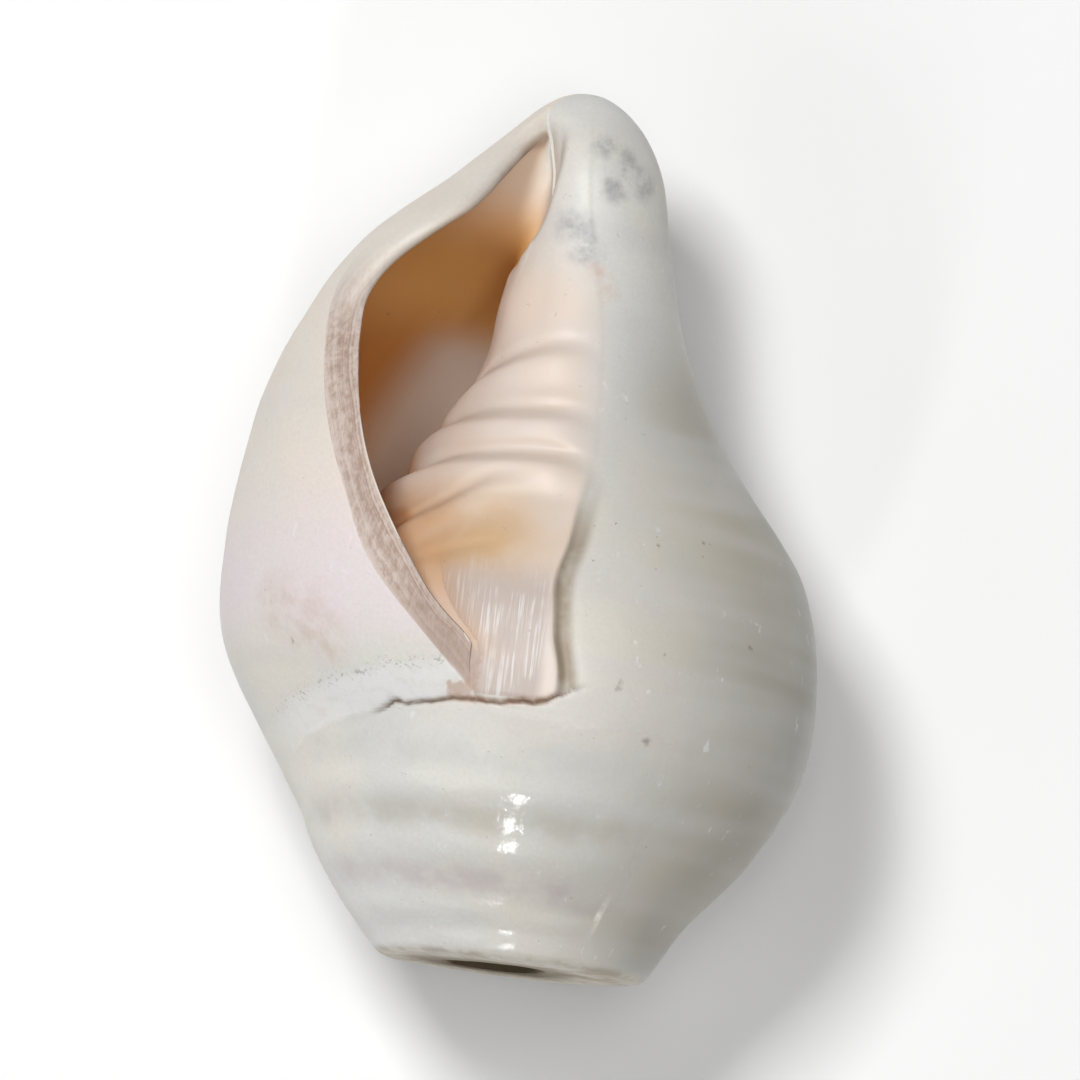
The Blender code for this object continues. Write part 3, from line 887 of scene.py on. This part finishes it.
# %% Bands, flecks and grain
wavy_height = calc("ADD", height, times(patches, 3.0))
for at, tint in ((21.9, (184, 180, 166)), (12.3, (190, 178, 178)), (32.5, (198, 198, 194))):
    band = curve(calc("ABSOLUTE", calc("SUBTRACT", wavy_height, at)), 0.4, 4.0, 1.0, 0.0)
    band = times(band, mask("glossy"), curve(cloud(110, 3.0, 0.6), 0.35, 0.65, 0.1, 0.6))
    colour = blend(band, colour, paint(*tint))
flecks = curve(cloud(520, 3.0, 0.6, stretch=(1, 0.5, 1)), 0.64, 0.72, 0.0, 0.5)
colour = blend(times(flecks, curve(cloud(60, 2.0, 0.5), 0.45, 0.6)), colour, paint(238, 238, 236))
grain = cloud(1500, 3.0, 0.7)
colour = blend(curve(grain, 0.25, 0.8, 0.0, 0.22), colour, paint(185, 180, 172))
print("bands, flecks and grain laid over it")

# %% [markdown]
# ### The mouth
# The lining is pale in the depth, orange towards the canal and beige in it; the darker orange near the lip
# is partly painted shade, and the bright orange towards the canal partly painted light through the thin wall.
# The glaze on the pillar is cream, with an ochre patch below the folds, a scraped patch under that, and ochre
# turning brown where it dips behind the lip, partly painted shade. The lip's inner side near the canal has
# painted shade in streaks.

# %% Lining
# Partly painted light: the darker orange near the lip is partly painted shade from the lip, and the bright
# orange towards the canal partly painted light shining through the thin wall.
near_tint = blend(curve(cloud(30, 2.0, 0.5), 0.3, 0.7), paint(226, 156, 82), paint(234, 174, 104))
lining = blend(mask("deep"), near_tint, paint(248, 234, 218))
lining = blend(curve(height, 102.0, 113.0), lining, paint(255, 202, 126))
lining = blend(curve(height, 117.0, 131.0), lining, paint(238, 214, 192))
colour = blend(mask("lining"), colour, lining)
print("lining mixed")

# %% Glaze on the pillar
cream = blend(curve(cloud(55, 2.0, 0.5), 0.3, 0.7), paint(224, 209, 195), paint(224, 212, 203))
off_ochre = calc("ABSOLUTE", calc("SUBTRACT", height, 66.0))
ochre = times(curve(off_ochre, 2.0, 14.0, 1.0, 0.0), curve(cloud(70, 3.0, 0.6), 0.3, 0.65, 0.45, 0.95),
              curve(mask("inward"), 0.0, 1.0, 0.35, 1.0))
cream = blend(ochre, cream, paint(208, 174, 132))
cream = blend(times(mask("scraped"), 0.9), cream, paint(190, 177, 169))
scrapes = cloud(2300, 2.0, 0.6, stretch=(1, 0.035, 0.05))
scraped = times(mask("scraped"), curve(scrapes, 0.45, 0.65, 0.0, 0.8), curve(cloud(130, 2.0, 0.5), 0.4, 0.6))
cream = blend(scraped, cream, paint(226, 220, 218))
# Ochre by the lip edge, turning brown where the glaze dips behind the lip: partly the glaze's own ochre, partly
# painted shade under the lip.
ochre_and_shade_by_the_lip = mask("ochre")
cream = blend(times(ochre_and_shade_by_the_lip, curve(cloud(120, 3.0, 0.6), 0.25, 0.7, 0.9, 0.5)), cream, paint(206, 160, 116))
cream = blend(curve(ochre_and_shade_by_the_lip, 0.72, 1.0, 0.0, 0.8), cream, paint(178, 122, 76))
glazed = times(mask("glazed"), calc("SUBTRACT", 1.0, mask("lining"), True))
colour = blend(glazed, colour, cream)
streaks = curve(cloud(160, 3.0, 0.6, stretch=(1, 0.4, 1)), 0.3, 0.7, 0.4, 0.9)
colour = blend(times(mask("lip_shade"), streaks), colour, paint(166, 134, 108))
print("glaze mixed")

# %% [markdown]
# ### The ground lip, the chalky band, the dirt and painted shade
# Where the lip was ground flat the layers of growth show as fine lines along the edge. Beside the suture the
# surface is dull and pitted, and dirt has settled in the crack. The groove by the glaze gets some dirt and
# painted shade, and the inner edge of the ground lip near the canal gets painted shade.

# %% Ground lip
across_lip = calc("ADD", mask("layer"), times(calc("SUBTRACT", cloud(55, 3.0, 0.6), 0.5), 0.35))
lines = put("ShaderNodeTexNoise", {"noise_dimensions": "1D"}, W=times(across_lip, 5.0), Scale=1.0,
            Detail=3.0, Roughness=0.6).outputs["Fac"]
lines = calc("ADD", times(lines, 0.6), times(cloud(1100, 2.0, 0.7, stretch=(1, 0.35, 1)), 0.4))
rim_colour = blend(curve(lines, 0.38, 0.62), paint(168, 144, 129), paint(206, 190, 181))
rim_colour = blend(curve(height, 46.0, 62.0, 0.6, 0.0), rim_colour, paint(178, 156, 142))
colour = blend(mask("ground"), colour, rim_colour)
print("lip mixed")

# %% Chalk, dirt, painted shade and the sawn face
rough_spots = cloud(420, 4.0, 0.7)
SOILING_AND_SHADE = [
    (mask("chalk"), curve(rough_spots, 0.3, 0.55, 0.25, 0.6), (232, 230, 230)),
    (mask("brown_line"), curve(cloud(240, 3.0, 0.7), 0.3, 0.6, 0.3, 0.85), (176, 134, 102)),
    (mask("dirt"), curve(cloud(300, 3.0, 0.7), 0.25, 0.5, 0.55, 1.0), (104, 82, 62)),
    # the groove beside the glaze: some dirt, mostly painted shade in the groove
    (mask("groove"), curve(cloud(150, 3.0, 0.6), 0.3, 0.6, 0.6, 0.95), (152, 136, 116)),
    # painted shade on the inner edge of the ground lip near the canal, where it rolls into the mouth
    (times(curve(mask("layer"), 0.6, 0.95), curve(height, 106.0, 118.0)), 0.6, (162, 138, 118)),
]
for laid_share, strength, tint in SOILING_AND_SHADE:
    colour = blend(times(laid_share, strength), colour, paint(*tint))
sawn_colour = blend(curve(cloud(160, 4.0, 0.7), 0.4, 0.62), paint(206, 200, 188), paint(176, 166, 148))
colour = blend(mask("sawn"), colour, sawn_colour)
print("chalk, dirt and sawn face mixed")

# %% [markdown]
# ### Stains, specks and the chip
# Each mark of wear on this shell is its own: grey stains near the tip with rosy ones below, a brown one above
# the suture, a chip at the lower corner of the lip, a few dark specks, and round the blow hole a dark ring that
# is partly a brown stain and partly painted shade where the cut dips into the hole. A mark is a soft ball of
# influence round a point on the surface, with its outline broken by noise.


# %% Marks of wear
def in_frame(point):
    """A point of the shell's own frame, in millimetres, where it lies in the finished piece, in metres."""
    return tuple(float(c) for c in (point * MM - mesh_low) * fit + np.array(low))


def on_shell(turn, height):
    """A point on the outside."""
    radius = max(float(whorl(turn, height)), float(whorl(turn + 360, height)))
    return in_frame(place(turn, height, radius * float(dome(height))))


def distance_to(point):
    """Distance from a point, its outline broken by noise."""
    return put("ShaderNodeVectorMath", {"operation": "DISTANCE"}, i0=worn_where, i1=point).outputs["Value"]


broken = put("ShaderNodeTexNoise", None, Vector=where, Scale=260.0, Detail=3.0, Roughness=0.6).outputs["Color"]
shift = put("ShaderNodeVectorMath", {"operation": "SUBTRACT"}, i0=broken, i1=(0.5, 0.5, 0.5)).outputs[0]
shift = put("ShaderNodeVectorMath", {"operation": "SCALE"}, i0=shift, Scale=0.0045).outputs[0]
worn_where = put("ShaderNodeVectorMath", {"operation": "ADD"}, i0=where, i1=shift).outputs[0]


def marks(spots, soft=0.5):
    """One mask for several round marks: turn, height and radius in millimetres."""
    total = None
    for turn, at, radius in spots:
        reach = radius * MM
        spot = curve(distance_to(on_shell(turn, at)), reach * (1 - soft), reach * (1 + soft), 1.0, 0.0)
        total = spot if total is None else calc("MAXIMUM", total, spot)
    return total


grey_stain = marks([(326.4, 134.3, 2.6), (340.5, 136.8, 2.0), (312.0, 132.0, 2.4), (336.5, 129.6, 1.8),
                    (364.8, 122.2, 2.4), (356.5, 119.2, 2.2)], 1.0)
rosy_edge = marks([(350.5, 115.0, 1.6), (347.0, 112.0, 1.6)], 1.0)
brown_stain = marks([(50.5, 49.0, 5.5), (57.0, 52.0, 5.0), (46.0, 47.0, 3.6)], 1.0)
chip = marks([(20.4, 41.6, 1.0), (18.6, 41.3, 1.3), (16.8, 41.0, 1.1)], 0.35)
specks = marks([(334.5, 69.6, 0.45), (320.2, 71.0, 0.5), (336.0, 36.4, 0.8), (310.7, 55.3, 0.5),
                (56.0, 46.6, 0.4), (48.5, 28.3, 0.5), (344.0, 45.0, 0.6)], 0.6)
stain_depth = curve(cloud(210, 4.0, 0.7), 0.35, 0.65, 0.15, 0.75)
# A dark ring round the blow hole: partly a brown stain, partly painted shade where the cut dips into the hole.
stain_and_shade_near_hole = curve(distance_to(in_frame(place(0, BASE, 0) + np.array([HOLE_CENTRE[0], 0, HOLE_CENTRE[1]]))),
                  0.010, 0.0165, 1.0, 0.0)
WEAR_AND_SHADE = [
    (times(grey_stain, stain_depth), (134, 135, 139)),
    (times(rosy_edge, stain_depth), (206, 178, 164)),
    (times(brown_stain, stain_depth, 0.9), (200, 180, 168)),
    (times(chip, 0.7), (184, 156, 136)),
    (times(stain_and_shade_near_hole, mask("sawn"), 0.75), (134, 120, 98)),
]
for worn, tint in WEAR_AND_SHADE:
    colour = blend(worn, colour, paint(*tint))
print("marks placed")

# %% [markdown]
# ### Gloss and fine relief
# The polish is not a mirror: it is glossiest on the front of the old whorl, satin elsewhere, and duller on the
# ground lip, the chalk and the sawn face. Tiny pits, a little darker inside, are left from worms and wear.

# %% Pits and gloss
tiny = curve(cloud(900, 2.0, 0.5), 0.72, 0.78)
hole = times(tiny, calc("SUBTRACT", curve(cloud(70, 2.0, 0.5), 0.5, 0.64), mask("glazed"), True))
pitted = times(curve(cloud(1300, 3.0, 0.6), 0.55, 0.62), mask("chalk_edge"), 0.8)
hole = calc("MAXIMUM", calc("MAXIMUM", hole, pitted), specks)
colour = blend(times(hole, 0.6), colour, paint(128, 118, 106))
dull = calc("MAXIMUM", times(mask("chalk"), 0.4), mask("sawn"))
dull = calc("MAXIMUM", dull, times(mask("ground"), 0.7))
satin = curve(cloud(90, 3.0), 0.3, 0.7, 0.46, 0.58)
gloss = blend(mask("glossy"), satin, curve(cloud(90, 3.0), 0.3, 0.7, 0.11, 0.2))
gloss = calc("ADD", gloss, times(dull, 0.25), True)
tree.links.new(colour, surface.inputs["Base Color"])
tree.links.new(gloss, surface.inputs["Roughness"])
surface.inputs["IOR"].default_value = 1.52
surface.inputs["Subsurface Weight"].default_value = 0.15
surface.inputs["Subsurface Radius"].default_value = (0.003, 0.0018, 0.001)
surface.inputs["Subsurface Scale"].default_value = 1.0
print("gloss set")

# %% Fine relief
relief_height = calc("SUBTRACT", times(cloud(700, 2.0, 0.6), 0.10), times(tiny, 0.4))
for pattern, part, tall in ((rough_spots, "chalk", 0.25), (cloud(340, 2.0, 0.5), "glossy", 0.3),
                            (scrapes, "scraped", 0.4), (lines, "ground", 0.35)):
    relief_height = calc("ADD", relief_height, times(pattern, mask(part), tall))
relief_node = put("ShaderNodeBump", None, Height=relief_height, Strength=0.5, Distance=0.0006)
tree.links.new(relief_node.outputs[0], surface.inputs["Normal"])
conch.data.materials.clear()
conch.data.materials.append(finish)
print("nodes in the finish", len(tree.nodes))

# %% [markdown]
# ## Floor and light
# A pale table and soft light, as in a small photo tent: the main lamp from the upper left, a second one near
# the lens that reaches into the mouth, a wide weak one from the lower left, a small one from the sawn end that
# leaves the sparkles on the waves, and a faint bright surround.

# %% Floor
deselect()
bpy.ops.mesh.primitive_plane_add(size=6)
table = bpy.context.object
table.name = "pale_table"
table_finish = bpy.data.materials.new("pale_table")
table_finish.use_nodes = True
table_inputs = table_finish.node_tree.nodes["Principled BSDF"].inputs
table_inputs["Base Color"].default_value = (0.95, 0.95, 0.95, 1)
table_inputs["Roughness"].default_value = 0.9
table.data.materials.append(table_finish)
print("table laid")


# %% Lamps
def lamp(name, spot, width, length, power):
    """A soft lamp at a spot, in metres, turned to the middle of the shell."""
    deselect()
    bpy.ops.object.light_add(type="AREA", location=spot)
    made = bpy.context.object
    made.name = name
    made.data.shape = "RECTANGLE"
    made.data.size = width
    made.data.size_y = length
    made.data.energy = power
    made.rotation_euler = (SHELL_MIDDLE - Vector(spot)).to_track_quat("-Z", "Y").to_euler()
    made.visible_camera = False
    print(name, power, "W")


SHELL_MIDDLE = Vector((0, 0, 0.045))
lamp("key", (-0.36, 0.34, 1.27), 0.30, 0.30, 10.8)
lamp("front", (0.12, -0.02, 1.42), 0.40, 0.40, 3.8)
lamp("window", (-0.66, -0.50, 0.85), 0.7, 0.7, 1.2)
lamp("sparkle", (-0.10, -0.74, 0.58), 0.06, 0.22, 1.0)
world = bpy.data.worlds.new("bright_surround")
world.use_nodes = True
surround = world.node_tree.nodes["Background"].inputs
surround["Color"].default_value = (1, 1, 1, 1)
surround["Strength"].default_value = 0.17
bpy.context.scene.world = world
bpy.context.scene.view_settings.view_transform = "Standard"
